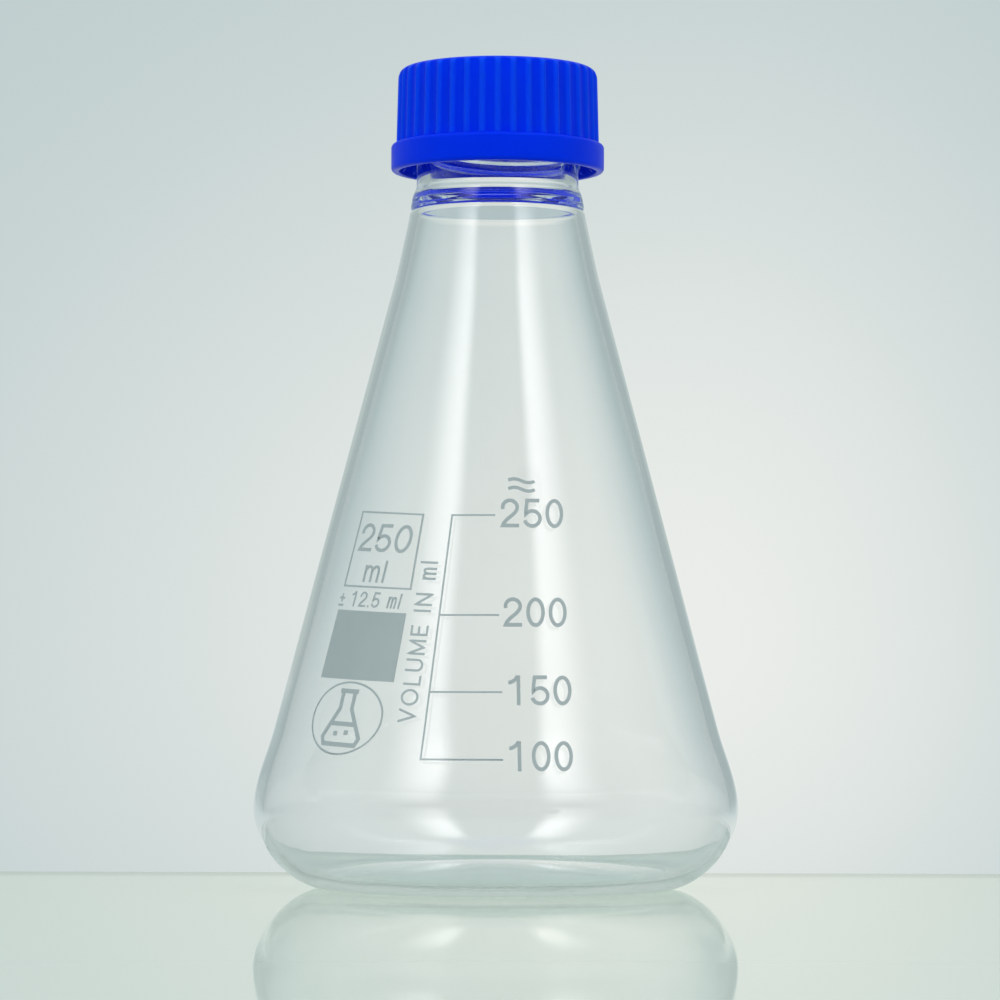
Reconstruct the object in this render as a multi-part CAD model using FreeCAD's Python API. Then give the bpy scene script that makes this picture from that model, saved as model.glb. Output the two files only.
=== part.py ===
"""Conical laboratory flask with a screw cap.

Millimetres, +Z up, origin in the middle of the ring that the flask stands on.
The print faces -Y.  Azimuths are degrees round the axis from -Y, positive towards +X.
One STEP file is written for each separate piece, with every piece where it lies when
the cap is screwed down.
"""
import FreeCAD, Part
import math
import os

from FreeCAD import Vector

# ---- glass ---------------------------------------------------------------
BODY_RADIUS = 42.5          # widest outside radius
BODY_WIDEST_Z = 13.7        # height of the widest place
WALL = 1.6                  # glass thickness of the cone, square to the surface
CONE_FOOT_RADIUS = 46.29    # radius the straight cone would have at z = 0
CONE_SLOPE = 0.2649         # radius lost for each millimetre of height
CONE_LOW_Z = 28.0           # straight cone starts
CONE_HIGH_Z = 105.0         # straight cone ends
STAND_INNER = 28.5          # flat ring that touches the table
STAND_OUTER = 31.0
PUNT_HEIGHT = 1.9           # hollow under the base
FLOOR_GLASS = 1.8           # thickness of the glass floor
FLOOR_RADIUS = 30.0         # inside floor, up to its rounded corner
FLOOR_RISE = 1.8            # how much the inside floor domes up

UPPER_BEND = (16.78, 112.3) # radius and height half-way up the last bend of the side
SHOULDER_Z = 118.5          # top of the cone, where the neck tube was joined on
SHOULDER_RADIUS = 15.5
NECK_RADIUS = 14.3          # outside of the neck tube, at the root of its thread
NECK_FOOT_Z = 123.6         # outside of the neck tube is straight from here up
BORE_RADIUS = 12.0          # inside of the neck tube
BORE_FOOT_Z = 122.3         # the bore is straight from here up
FLARE_FOOT_Z = 118.7        # the bore flares out to the wall of the cone down to here
RIM_Z = 140.95              # top of the rounded glass rim

# ---- screw thread, one rounded ridge on each part --------------------------
PITCH = 4.0
GLASS_RIDGE_RADIUS = 1.55   # half-round ridge on the neck
GLASS_RIDGE_Z = 127.4       # height of the ridge where it starts
GLASS_RIDGE_TURNS = 2.25
CAP_RIDGE_RADIUS = 1.0      # half-round ridge in the cap, half a pitch above the neck's
CAP_RIDGE_START = 180.0     # degrees that the neck's ridge has wound where the cap's starts
CAP_RIDGE_TURNS = 1.5
RIDGE_RUN_OUT = 10.0        # degrees between the neck and the ridge's tapered ends

# ---- screw cap ---------------------------------------------------------------
CAP_BOTTOM_Z = 126.0
CAP_TOP_Z = 144.4
CAP_FOOT_RADIUS = 17.9      # over the grip ribs, just above the band
CAP_HEAD_RADIUS = 17.6      # over the grip ribs, at the rounded top edge
CAP_EDGE = 1.8              # radius of the rounded top edge
CAP_LID = 1.6               # thickness of the top
BAND_RADIUS = 18.8
BAND_TOP_Z = 130.9
BAND_EDGE = 0.7             # radius of its rounded upper and lower edges
THREAD_WALL_RADIUS = 16.2   # inside wall that carries the ridge
SKIRT_RADIUS = 17.4         # wider recess just inside the bottom edge
SKIRT_DEPTH = 3.8
FLUTE_COUNT = 40
FLUTE_RADIUS = 1.5
FLUTE_DEPTH = 0.55
LUG_COUNT = 24              # small half-round lugs inside the skirt
LUG_RADIUS = 0.5
LUG_HEIGHT = 1.8
LUG_FOOT = 0.9              # height of the lugs above the cap's lower edge
LINER_BEAD_RADIUS = 15.1    # bead that keeps the liner up in the cap
LINER_BEAD_HEIGHT = 0.5

# ---- liner and pouring ring ----------------------------------------------------
LINER_RADIUS = 15.6
LINER_THICKNESS = 0.95
PLAY = 0.05                 # gap between faces that rest on each other
RING_TOP_Z = 141.8
RING_OUTER = 14.85
RING_WALL = 0.5
RING_INNER = 12.1
RING_LEAD_IN = 0.3          # chamfer round the ring's mouth
RING_SKIRT_DEPTH = 2.6

# ---- fired enamel print ----------------------------------------------------------
ENAMEL_PROUD = 0.06         # above the glass
ENAMEL_SUNK = 0.03          # melted into the glass
LINE_WIDTH = 0.32
TICKS = [(64.3, -0.8), (47.35, 0.5), (34.45, 1.3), (23.25, 1.5)]   # height, azimuth of the end
SCALE_TOP_AZIMUTH = -14.9
SCALE_LEAN = 0.0804         # degrees for each millimetre of height
LABEL_RIGHT_AZIMUTH = -25.2
LABEL_TOP_Z = 64.45
LABEL_LEAN = 0.0968         # degrees for each millimetre of height
LABEL_WIDTH = 27.0          # degrees
LABEL_RISE = 0.8            # how much higher the label's left end sits
FRAME_ROW = (51.75, 64.45)   # bottom and top of each label row at its right end
FIELD_ROW = (36.05, 47.65)
BADGE_Z = 29.55
BADGE_HALF_WIDTH = 8.2
BADGE_HALF_HEIGHT = 6.2

UP = Vector(0, 0, 1)
ORIGIN = Vector(0, 0, 0)


def point(radius, height):
    """A point of a profile, in the plane y = 0."""
    return Vector(radius, 0, height)


def line(start, end):
    return Part.LineSegment(start, end).toShape()


def arc(start, middle, end):
    return Part.Arc(start, middle, end).toShape()


def curve(points, first_direction, last_direction):
    """A smooth curve through points, with its direction given at both ends."""
    spline = Part.BSplineCurve()
    spline.interpolate(Points=points, InitialTangent=first_direction, FinalTangent=last_direction)
    return spline.toShape()


def dome(edge, top_z):
    """A shallow arc from an edge to the axis, centred on the axis."""
    rise = top_z - edge.z
    radius = (edge.x ** 2 + rise ** 2) / (2 * rise)
    half_way = edge.x / 2
    drop = radius - math.sqrt(radius ** 2 - half_way ** 2)
    return arc(edge, point(half_way, top_z - drop), point(0, top_z))


def turned(edges):
    """The solid that a closed profile makes when it is turned round the axis."""
    return Part.Face(Part.Wire(edges)).revolve(ORIGIN, UP, 360)


def turned_outline(corners):
    """A turned solid with a straight-sided profile, given as (radius, height) corners."""
    wire = Part.makePolygon([point(*corner) for corner in corners + corners[:1]])
    return Part.Face(wire).revolve(ORIGIN, UP, 360)


def cone_radius(height, inset=0.0):
    """Radius of the straight cone, or of a surface set in square to it."""
    return CONE_FOOT_RADIUS - CONE_SLOPE * height - inset * math.hypot(1, CONE_SLOPE)


def ridge(radius, start_z, turns, ridge_radius, start_angle=0.0):
    """A round bar wound right-handed along the thread's helix."""
    path = Part.makeHelix(PITCH, turns * PITCH, radius)
    path.translate(Vector(0, 0, start_z))
    section = Part.Wire(Part.makeCircle(ridge_radius, point(radius, start_z), Vector(0, 1, 0)))
    sweep = Part.BRepOffsetAPI.MakePipeShell(path)
    sweep.setFrenetMode(True)
    sweep.add(section)
    sweep.build()
    sweep.makeSolid()
    bar = sweep.shape()
    bar.rotate(ORIGIN, UP, start_angle)
    return bar


def run_out_cutter(end_angle, outward_turn):
    """Block that tapers one end of the neck's ridge down to the neck."""
    block = Part.makeBox(8, 12, 30, Vector(0, -6, GLASS_RIDGE_Z - 6))
    block.rotate(ORIGIN, UP, outward_turn)
    block.translate(Vector(NECK_RADIUS - 0.1, 0, 0))
    block.rotate(ORIGIN, UP, end_angle)
    near_end = Part.makeBox(12, 12, 4, Vector(NECK_RADIUS - 4, -6, 0))
    near_end.rotate(ORIGIN, UP, end_angle)
    near_end.translate(Vector(0, 0, ridge_height(end_angle) - 2))
    return block.common(near_end)


def ridge_height(angle):
    """Height of the neck's ridge after it has wound through an angle."""
    return GLASS_RIDGE_Z + PITCH * angle / 360


def body_side():
    """Outside of the flask in its profile, from the base to the top of the straight cone."""
    corner = point(BODY_RADIUS - 2.4, BODY_WIDEST_Z - 7)
    widest = point(BODY_RADIUS, BODY_WIDEST_Z)
    cone_low = point(cone_radius(CONE_LOW_Z), CONE_LOW_Z)
    cone_high = point(cone_radius(CONE_HIGH_Z), CONE_HIGH_Z)
    round_foot = curve([point(STAND_OUTER, 0), corner, widest, cone_low],
                       Vector(1, 0, 0.25), Vector(-CONE_SLOPE, 0, 1))
    return [round_foot, line(cone_low, cone_high)]


def flask_profile():
    """Outline of half the glass: outside from the base up, round the rim, inside down."""
    down_cone = Vector(CONE_SLOPE, 0, -1)
    rim_radius = (NECK_RADIUS - BORE_RADIUS) / 2
    floor_z = PUNT_HEIGHT + FLOOR_GLASS
    corner_z = floor_z - FLOOR_RISE

    stand_in = point(STAND_INNER, 0)
    cone_high = point(cone_radius(CONE_HIGH_Z), CONE_HIGH_Z)
    shoulder = point(SHOULDER_RADIUS, SHOULDER_Z)
    groove = point(SHOULDER_RADIUS - 0.35, SHOULDER_Z + 0.6)
    bead = point(SHOULDER_RADIUS - 0.2, SHOULDER_Z + 1.2)
    neck_foot = point(NECK_RADIUS, NECK_FOOT_Z)
    rim_out = point(NECK_RADIUS, RIM_Z - rim_radius)
    rim_top = point((NECK_RADIUS + BORE_RADIUS) / 2, RIM_Z)
    rim_in = point(BORE_RADIUS, RIM_Z - rim_radius)
    bore_foot = point(BORE_RADIUS, BORE_FOOT_Z)
    flare_foot = point(SHOULDER_RADIUS - WALL, FLARE_FOOT_Z)
    inner_bend = point(UPPER_BEND[0] - WALL, UPPER_BEND[1])
    inner_high = point(cone_radius(CONE_HIGH_Z, WALL), CONE_HIGH_Z)
    inner_low = point(cone_radius(CONE_LOW_Z, WALL), CONE_LOW_Z)
    inner_widest = point(BODY_RADIUS - WALL, BODY_WIDEST_Z)
    inner_corner = point(BODY_RADIUS - 3.7, BODY_WIDEST_Z - 6.2)
    floor_edge = point(FLOOR_RADIUS, corner_z)

    return [
        dome(stand_in, PUNT_HEIGHT),
        line(stand_in, point(STAND_OUTER, 0)),
        *body_side(),
        arc(cone_high, point(*UPPER_BEND), shoulder),
        arc(shoulder, groove, bead),
        curve([bead, point(NECK_RADIUS + 0.66, NECK_FOOT_Z - 2), neck_foot],
              Vector(-0.14, 0, 1), UP),
        line(neck_foot, rim_out),
        arc(rim_out, rim_top, rim_in),
        line(rim_in, bore_foot),
        curve([bore_foot, flare_foot], Vector(0, 0, -1), Vector(0.15, 0, -1)),
        arc(flare_foot, inner_bend, inner_high),
        line(inner_high, inner_low),
        curve([inner_low, inner_widest, inner_corner, floor_edge], down_cone, Vector(-1, 0, 0.12)),
        dome(floor_edge, floor_z),
        line(point(0, floor_z), point(0, PUNT_HEIGHT)),
    ]


def flask_body():
    glass = turned(flask_profile())
    thread = ridge(NECK_RADIUS, GLASS_RIDGE_Z, GLASS_RIDGE_TURNS, GLASS_RIDGE_RADIUS)
    last_angle = 360 * GLASS_RIDGE_TURNS
    thread = thread.cut(run_out_cutter(0, -RIDGE_RUN_OUT))
    thread = thread.cut(run_out_cutter(last_angle, RIDGE_RUN_OUT))
    bore = Part.makeCylinder((NECK_RADIUS + BORE_RADIUS) / 2, CAP_TOP_Z)
    return glass.fuse(thread.cut(bore))


def cap_grip():
    """Turned upper part of the cap with its grip flutes, down into the band."""
    edge = point(CAP_HEAD_RADIUS - CAP_EDGE, CAP_TOP_Z - CAP_EDGE)
    top_in = edge + Vector(0, 0, CAP_EDGE)
    side_in = edge + Vector(CAP_EDGE, 0, 0)
    diagonal = edge + Vector(CAP_EDGE, 0, CAP_EDGE) * math.sqrt(0.5)
    foot_z = (CAP_BOTTOM_Z + BAND_TOP_Z) / 2
    corners = [top_in, point(0, CAP_TOP_Z), point(0, foot_z), point(CAP_FOOT_RADIUS, foot_z),
               point(CAP_FOOT_RADIUS, BAND_TOP_Z), side_in]
    edges = [line(start, end) for start, end in zip(corners, corners[1:])]
    edges.append(arc(side_in, diagonal, top_in))
    return turned(edges).cut(ring_of(grip_flute(), FLUTE_COUNT))


def cap_band():
    """Plain turned band at the foot of the cap, with rounded edges."""
    inset = BAND_RADIUS - BAND_EDGE
    diagonal = inset + BAND_EDGE * math.sqrt(0.5)
    lift = BAND_EDGE * (1 - math.sqrt(0.5))
    high, low = BAND_TOP_Z, CAP_BOTTOM_Z
    side_high, side_low = point(BAND_RADIUS, high - BAND_EDGE), point(BAND_RADIUS, low + BAND_EDGE)
    return turned([
        line(point(0, high), point(0, low)),
        line(point(0, low), point(inset, low)),
        arc(point(inset, low), point(diagonal, low + lift), side_low),
        line(side_low, side_high),
        arc(side_high, point(diagonal, high - lift), point(inset, high)),
        line(point(inset, high), point(0, high)),
    ])


def cap_hollow():
    """Skirt recess, threaded bore, bead for the liner, and the liner's seat under the lid."""
    ceiling = CAP_TOP_Z - CAP_LID
    bead_top = ceiling - LINER_THICKNESS - 2 * PLAY
    bead_bottom = bead_top - LINER_BEAD_HEIGHT
    skirt_top = CAP_BOTTOM_Z + SKIRT_DEPTH
    return turned_outline([
        (0, CAP_BOTTOM_Z - 1), (SKIRT_RADIUS, CAP_BOTTOM_Z - 1), (SKIRT_RADIUS, skirt_top - 0.5),
        (THREAD_WALL_RADIUS, skirt_top), (THREAD_WALL_RADIUS, bead_bottom - 1.0),
        (LINER_BEAD_RADIUS, bead_bottom), (LINER_BEAD_RADIUS, bead_top),
        (THREAD_WALL_RADIUS, bead_top), (THREAD_WALL_RADIUS, ceiling), (0, ceiling)])


def ring_of(tool, count):
    """Copies of a tool spaced evenly round the axis."""
    copies = []
    for index in range(count):
        copy = tool.copy()
        copy.rotate(ORIGIN, UP, index * 360 / count)
        copies.append(copy)
    return copies


def grip_flute():
    """Cutter for one shallow flute, leaning in as much as the cap's side does."""
    centre = CAP_FOOT_RADIUS - FLUTE_DEPTH + FLUTE_RADIUS
    lean = math.degrees(math.atan2(CAP_FOOT_RADIUS - CAP_HEAD_RADIUS, CAP_TOP_Z - CAP_EDGE - BAND_TOP_Z))
    overrun = BAND_TOP_Z - CAP_BOTTOM_Z
    cutter = Part.makeCylinder(FLUTE_RADIUS, CAP_TOP_Z - BAND_TOP_Z + 2 * overrun, Vector(0, 0, -overrun))
    cutter.rotate(ORIGIN, Vector(0, 1, 0), -lean)
    cutter.translate(point(centre, BAND_TOP_Z))
    return cutter


def screw_cap():
    cap = cap_grip().fuse(cap_band()).cut(cap_hollow())
    lug_axis = SKIRT_RADIUS + LUG_RADIUS / 5
    lug = Part.makeCylinder(LUG_RADIUS, LUG_HEIGHT, point(lug_axis, CAP_BOTTOM_Z + LUG_FOOT))
    cap = cap.fuse(ring_of(lug, LUG_COUNT))
    thread = ridge(THREAD_WALL_RADIUS, ridge_height(CAP_RIDGE_START) + PITCH / 2, CAP_RIDGE_TURNS,
                   CAP_RIDGE_RADIUS, CAP_RIDGE_START)
    wall_middle = (THREAD_WALL_RADIUS + CAP_FOOT_RADIUS - FLUTE_DEPTH) / 2
    inside = Part.makeCylinder(wall_middle, CAP_TOP_Z)
    return cap.fuse(thread.common(inside)).removeSplitter()


def seal_disc():
    bottom = CAP_TOP_Z - CAP_LID - PLAY - LINER_THICKNESS
    return Part.makeCylinder(LINER_RADIUS, LINER_THICKNESS, point(0, bottom))


def pouring_ring():
    """L-section ring: a flange over the glass rim and a skirt down the outside of the neck."""
    neck_side = NECK_RADIUS + PLAY
    under = RIM_Z + PLAY
    skirt_bottom = RING_TOP_Z - RING_SKIRT_DEPTH
    return turned_outline([
        (RING_INNER, under), (neck_side, under), (neck_side, skirt_bottom),
        (neck_side + RING_WALL, skirt_bottom), (RING_OUTER, RING_TOP_Z),
        (RING_INNER + RING_LEAD_IN, RING_TOP_Z), (RING_INNER, RING_TOP_Z - RING_LEAD_IN)])


def enamel_skin():
    """Thin layer over the side of the flask that every printed shape is cut from."""
    inner, outer = [Part.Wire(body_side()) for _ in range(2)]
    inner.translate(point(-ENAMEL_SUNK, 0))
    outer.translate(point(ENAMEL_PROUD, 0))
    foot, head = [line(inner.OrderedVertexes[end].Point, outer.OrderedVertexes[end].Point)
                  for end in (0, -1)]
    return turned([foot, *outer.OrderedEdges, head, *inner.OrderedEdges])


def printed(outline, azimuth):
    """The part of the enamel layer behind a flat outline that faces one azimuth."""
    prism = outline.extrude(Vector(0, -(BODY_RADIUS + 10), 0))
    prism.rotate(ORIGIN, UP, azimuth)
    return enamel_skin().common(prism)


def flat_point(azimuth, height, facing):
    """Where a place on the cone appears in the flat outline for one azimuth."""
    return Vector(cone_radius(height) * math.sin(math.radians(azimuth - facing)), 0, height)


def quad(corners, facing):
    """Flat outline from four (azimuth, height) corners."""
    points = [flat_point(azimuth, height, facing) for azimuth, height in corners]
    return Part.Face(Part.makePolygon(points + points[:1]))


def stroke(start, end, facing):
    """Flat outline of a straight printed line between two (azimuth, height) places."""
    first = flat_point(*start, facing)
    last = flat_point(*end, facing)
    along = (last - first).normalize()
    across = Vector(-along.z, 0, along.x) * (LINE_WIDTH / 2)
    cap = along * (LINE_WIDTH / 2)
    corners = [first - cap - across, last + cap - across, last + cap + across, first - cap + across]
    return Part.Face(Part.makePolygon(corners + corners[:1]))


def flat_oval(height, half_width, half_height):
    """Flat outline of an oval in the middle of the direction it faces."""
    centre = Vector(0, 0, height)
    side = Vector(half_width, 0, height)
    top = Vector(0, 0, height + half_height)
    return Part.Face(Part.Wire(Part.Ellipse(side, top, centre).toShape()))


def scale_azimuth(height):
    return SCALE_TOP_AZIMUTH - SCALE_LEAN * (TICKS[0][0] - height)


def label_place(across, height):
    """Azimuth and height of a place in the label column: across is 0 left to 1 right."""
    azimuth = LABEL_RIGHT_AZIMUTH - LABEL_LEAN * (LABEL_TOP_Z - height) - LABEL_WIDTH * (1 - across)
    return azimuth, height + LABEL_RISE * (1 - across)


def label_corners(row):
    """The four corners of a label row, in order round it."""
    bottom, top = row
    return [label_place(0, bottom), label_place(1, bottom), label_place(1, top), label_place(0, top)]


def enamel_scale():
    """Graduation scale: one leaning upright line with four ticks."""
    facing = SCALE_TOP_AZIMUTH / 2
    top, bottom = TICKS[0][0], TICKS[-1][0]
    lines = [stroke((scale_azimuth(bottom), bottom), (scale_azimuth(top), top), facing)]
    for height, end_azimuth in TICKS:
        lines.append(stroke((scale_azimuth(height), height), (end_azimuth, height), facing))
    marks = [printed(outline, facing) for outline in lines]
    return marks[0].fuse(marks[1:])


def enamel_capacity_frame():
    """Thin rectangular frame round the nominal capacity."""
    facing = label_place(0.5, LABEL_TOP_Z)[0]
    corners = label_corners(FRAME_ROW)
    sides = [printed(stroke(start, end, facing), facing)
             for start, end in zip(corners, corners[1:] + corners[:1])]
    return sides[0].fuse(sides[1:])


def enamel_marking_field():
    """Solid patch for writing on."""
    facing = label_place(0.5, FIELD_ROW[1])[0]
    return printed(quad(label_corners(FIELD_ROW), facing), facing)


def enamel_badge():
    """Oval frame of the pictogram at the foot of the label column."""
    azimuth, height = label_place(0.5, BADGE_Z)
    outer, inner = [flat_oval(height, BADGE_HALF_WIDTH - inset, BADGE_HALF_HEIGHT - inset)
                    for inset in (0, LINE_WIDTH)]
    return printed(outer.cut(inner), azimuth)


PIECES = [flask_body, pouring_ring, seal_disc, screw_cap,
          enamel_scale, enamel_capacity_frame, enamel_marking_field, enamel_badge]

os.makedirs("parts", exist_ok=True)
for make_piece in PIECES:
    piece = make_piece()
    piece.exportStep(f"parts/{make_piece.__name__}.step")
    box = piece.BoundBox
    print(f"{make_piece.__name__:24s} solids {len(piece.Solids)} valid {piece.isValid()} "
          f"volume {piece.Volume:10.2f} z {box.ZMin:.2f} to {box.ZMax:.2f} r {box.XMax:.2f}")
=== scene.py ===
import math

import bmesh
import bpy
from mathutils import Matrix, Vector


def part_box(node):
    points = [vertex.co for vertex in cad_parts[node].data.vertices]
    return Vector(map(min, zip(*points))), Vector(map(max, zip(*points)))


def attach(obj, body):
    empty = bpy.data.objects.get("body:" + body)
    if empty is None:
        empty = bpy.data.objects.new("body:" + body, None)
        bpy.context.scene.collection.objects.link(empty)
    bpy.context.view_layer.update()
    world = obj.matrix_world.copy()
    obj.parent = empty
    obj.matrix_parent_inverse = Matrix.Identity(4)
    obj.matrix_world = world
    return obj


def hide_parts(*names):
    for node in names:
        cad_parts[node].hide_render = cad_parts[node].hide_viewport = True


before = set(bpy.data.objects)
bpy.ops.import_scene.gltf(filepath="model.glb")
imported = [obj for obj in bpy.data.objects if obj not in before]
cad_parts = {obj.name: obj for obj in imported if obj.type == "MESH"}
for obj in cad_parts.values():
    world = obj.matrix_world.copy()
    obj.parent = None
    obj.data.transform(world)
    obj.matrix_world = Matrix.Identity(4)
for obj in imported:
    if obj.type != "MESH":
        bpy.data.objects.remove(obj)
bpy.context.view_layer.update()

# The conical flask's finished surfaces, in metres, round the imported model.  +Z is up, the
# print faces -Y, and azimuths are degrees round the axis from -Y, positive towards +X.

MM = 0.001
_, glass_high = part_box("flask_body")
cap_low, cap_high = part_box("screw_cap")
liner_low, liner_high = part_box("seal_disc")
ring_low, ring_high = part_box("pouring_ring")

PLAY = 0.05 * MM            # gap between faces that rest on each other
ON_WALL = 0.01 * MM         # how near a profile's point lies to the wall it belongs to

# ---- sizes of the glass --------------------------------------------------------------
BODY_RADIUS = 42.5 * MM
BODY_WIDEST_Z = 13.7 * MM
RIM_Z = glass_high.z
WALL = 1.6 * MM
CONE_FOOT_RADIUS = 46.29 * MM
CONE_SLOPE = 0.2649
CONE_LOW_Z = 28 * MM
CONE_HIGH_Z = 105 * MM
STAND_INNER = 28.5 * MM
STAND_OUTER = 31 * MM
PUNT_HEIGHT = 1.9 * MM
FLOOR_GLASS = 1.8 * MM
FLOOR_RADIUS = 30 * MM
FLOOR_RISE = 1.8 * MM
UPPER_BEND = (16.78 * MM, 112.3 * MM)
SHOULDER_Z = 118.5 * MM
SHOULDER_RADIUS = 15.5 * MM
NECK_RADIUS = 14.3 * MM
NECK_FOOT_Z = 123.6 * MM
BORE_RADIUS = 12.0 * MM
BORE_FOOT_Z = 122.3 * MM
FLARE_FOOT_Z = 118.7 * MM
GLASS_SEGMENTS = 256

# ---- screw thread --------------------------------------------------------------------
PITCH = 4 * MM
RIDGE_START_Z = 127.4 * MM
RIDGE_TURNS = 2.25
RIDGE_HEIGHT = 1.5 * MM
RIDGE_HALF_WIDTH = 1.75 * MM
RIDGE_FADE = 25.0           # degrees over which a ridge rises and dies away
CAP_RIDGE_START = 180.0     # degrees that the neck's ridge has wound where the cap's starts
CAP_RIDGE_TURNS = 1.5
CAP_RIDGE_HEIGHT = 0.9 * MM
CAP_RIDGE_HALF_WIDTH = 1.2 * MM

# ---- sizes of the cap ----------------------------------------------------------------
BAND_RADIUS = cap_high.x
BAND_TOP_Z = cap_low.z + 4.9 * MM
BAND_EDGE = 0.7 * MM
CAP_FOOT_RADIUS = BAND_RADIUS - 0.9 * MM
CAP_HEAD_RADIUS = BAND_RADIUS - 1.2 * MM
CAP_EDGE = 1.8 * MM
CAP_CEILING_Z = liner_high.z + PLAY
THREAD_WALL_RADIUS = 16.2 * MM
SKIRT_RADIUS = 17.4 * MM
SKIRT_TOP_Z = cap_low.z + 3.8 * MM
LINER_BEAD_RADIUS = 15.1 * MM
FLUTE_COUNT = 40
FLUTE_DEPTH = 0.55 * MM
LUG_COUNT = 24
LUG_DEPTH = 0.5 * MM
LUG_LOW_Z = cap_low.z + 0.8 * MM
LUG_HIGH_Z = cap_low.z + 2.8 * MM
CAP_SEGMENTS = 720

# ---- print ---------------------------------------------------------------------------
ENAMEL_PROUD = 0.06 * MM
ENAMEL_SUNK = 0.02 * MM
LETTER_STEP = 0.5 * MM      # longest straight piece of a printed stroke
LABEL_LEAN = 0.056          # how far the label column leans for its height
LABEL_TILT = -0.054         # how much its rows drop to the right for their length
NUMERAL_HEIGHT = 4.95 * MM
NUMERAL_ROWS = (            # volume, height of the middle of its row, azimuth of its left end
    ("250", 64.65 * MM, 1.3),
    ("200", 47.85 * MM, 2.0),
    ("150", 34.75 * MM, 3.0),
    ("100", 23.85 * MM, 3.0),
)

# ---- blues of the plastics, linear ---------------------------------------------------
CAP_BLUE = (0.0010, 0.038, 0.96)
CAP_DEEP_BLUE = (0.0007, 0.029, 0.86)
# painted highlight: the paler blue that the crests of the cap's grip ribs are painted
RIB_PAINTED_HIGHLIGHT_BLUE = (0.0035, 0.072, 0.99)
# painted glow: the colour that the inside of the cap is painted to glow
PAINTED_GLOW_BLUE = (0.0012, 0.040, 1.0)
PAINTED_GLOW_STRENGTH = 0.34        # strength of the painted glow inside the cap, standing in for light that comes through its wall

# ---- studio --------------------------------------------------------------------------
CAMERA_PLACE = Vector((0, -0.719, 0.0377))
CAMERA_LENS = 147.06        # millimetres, on a 36 mm sensor
CAMERA_PITCH = 2.42         # degrees upwards
CAMERA_YAW = 0.046          # degrees to the right
CAMERA_ROLL = 0.15
BACKDROP_LIGHT = 0.59
POOL_LIGHT = 0.257          # what the pool of light behind the flask adds in its middle
POOL_AZIMUTH = 0.047        # its middle, in radians from +Y
POOL_RISE = 0.008           # and the height of the direction to it
POOL_FALL_RIGHT = 9.5       # how fast it fades each way
POOL_FALL_LEFT = 5.7
POOL_FALL_UP = 7.1
POOL_FALL_DOWN = 9.6
TABLE_BACK = 0.055          # the table's back edge, behind the flask's axis
SOFTBOX_RADIANCE = 3.0
SURROUND = 0.75             # brightness of the room beside the backdrop
DARK_ROOM = 0.12            # how much of that is left on the camera's side
TRAPPED_DEPTH = 9           # bounces after which a ray counts as trapped in the glass wall
TRAPPED_RAY_PAINTED_LIGHT = (0.56, 0.62, 0.595)   # painted light such a ray gets instead of black: a pale glow standing in for room light piped along the wall
TRAPPED_RAY_PAINTED_BLUE = (0.004, 0.035, 0.40)   # and the painted blue glow it gets where the cap is round the neck


# ======== mesh helpers ========================================================================

def smoothed(mesh, angle=math.radians(40)):
    """Shade a mesh smooth, with the edges sharper than an angle kept crisp."""
    mesh.shade_smooth()
    mesh.set_sharp_from_angle(angle=angle)


def add_object(name, data):
    piece = bpy.data.objects.new(name, data)
    bpy.context.scene.collection.objects.link(piece)
    return piece


def bezier(start, start_direction, end, end_direction, steps):
    """Points of a smooth bend between two places, without the first one."""
    start, end = Vector(start), Vector(end)
    reach = (end - start).length / 3
    first = start + Vector(start_direction).normalized() * reach
    second = end - Vector(end_direction).normalized() * reach
    points = []
    for step in range(1, steps + 1):
        t = step / steps
        s = 1 - t
        points.append(s ** 3 * start + 3 * s * s * t * first + 3 * s * t * t * second + t ** 3 * end)
    return points


def straight(start, end, steps):
    """Evenly spaced points of a straight run, without the first one."""
    start, end = Vector(start), Vector(end)
    return [start.lerp(end, step / steps) for step in range(1, steps + 1)]


def oval(centre, radii, start_degrees, end_degrees, steps):
    """Points along an oval, with both ends."""
    angles = [math.radians(start_degrees + (end_degrees - start_degrees) * step / steps)
              for step in range(steps + 1)]
    return [Vector((centre[0] + radii[0] * math.cos(a), centre[1] + radii[1] * math.sin(a)))
            for a in angles]


def quarter(centre, radius, start_degrees, end_degrees, steps):
    """Points of a rounded corner in a profile, with both ends."""
    return oval(centre, (radius, radius), start_degrees, end_degrees, steps)


def turned(name, profile, segments, shape=None):
    """A closed mesh that a profile of (radius, height) points makes round the axis.

    A profile that starts and ends on the axis gets a pole there; any other one is a loop.
    shape(radius, height, angle) may give each point a radius of its own.
    """
    mesh = bmesh.new()
    poles = profile[0][0] < 1e-9
    rows = profile[1:-1] if poles else profile
    rings = []
    for radius, height in rows:
        ring = []
        for segment in range(segments):
            angle = 2 * math.pi * segment / segments
            r = shape(radius, height, angle) if shape else radius
            ring.append(mesh.verts.new((r * math.cos(angle), r * math.sin(angle), height)))
        rings.append(ring)
    pairs = list(zip(rings, rings[1:]))
    if not poles:
        pairs.append((rings[-1], rings[0]))
    for lower, upper in pairs:
        for a in range(segments):
            b = (a + 1) % segments
            mesh.faces.new((lower[a], lower[b], upper[b], upper[a]))
    if poles:
        for ring, (_, height) in ((rings[0], profile[0]), (rings[-1], profile[-1])):
            pole = mesh.verts.new((0, 0, height))
            for a in range(segments):
                mesh.faces.new((ring[a], ring[(a + 1) % segments], pole))
    return finished(name, mesh)


def finished(name, mesh):
    """Turn a bmesh into an object with its normals outwards and smooth shading."""
    bmesh.ops.recalc_face_normals(mesh, faces=mesh.faces)
    data = bpy.data.meshes.new(name)
    mesh.to_mesh(data)
    mesh.free()
    smoothed(data)
    return add_object(name, data)


# ======== glass ===============================================================================

def cone_radius(height, inset=0.0):
    """Radius of the straight cone, or of a surface set in square to it."""
    return CONE_FOOT_RADIUS - CONE_SLOPE * height - inset * math.hypot(1, CONE_SLOPE)


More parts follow.
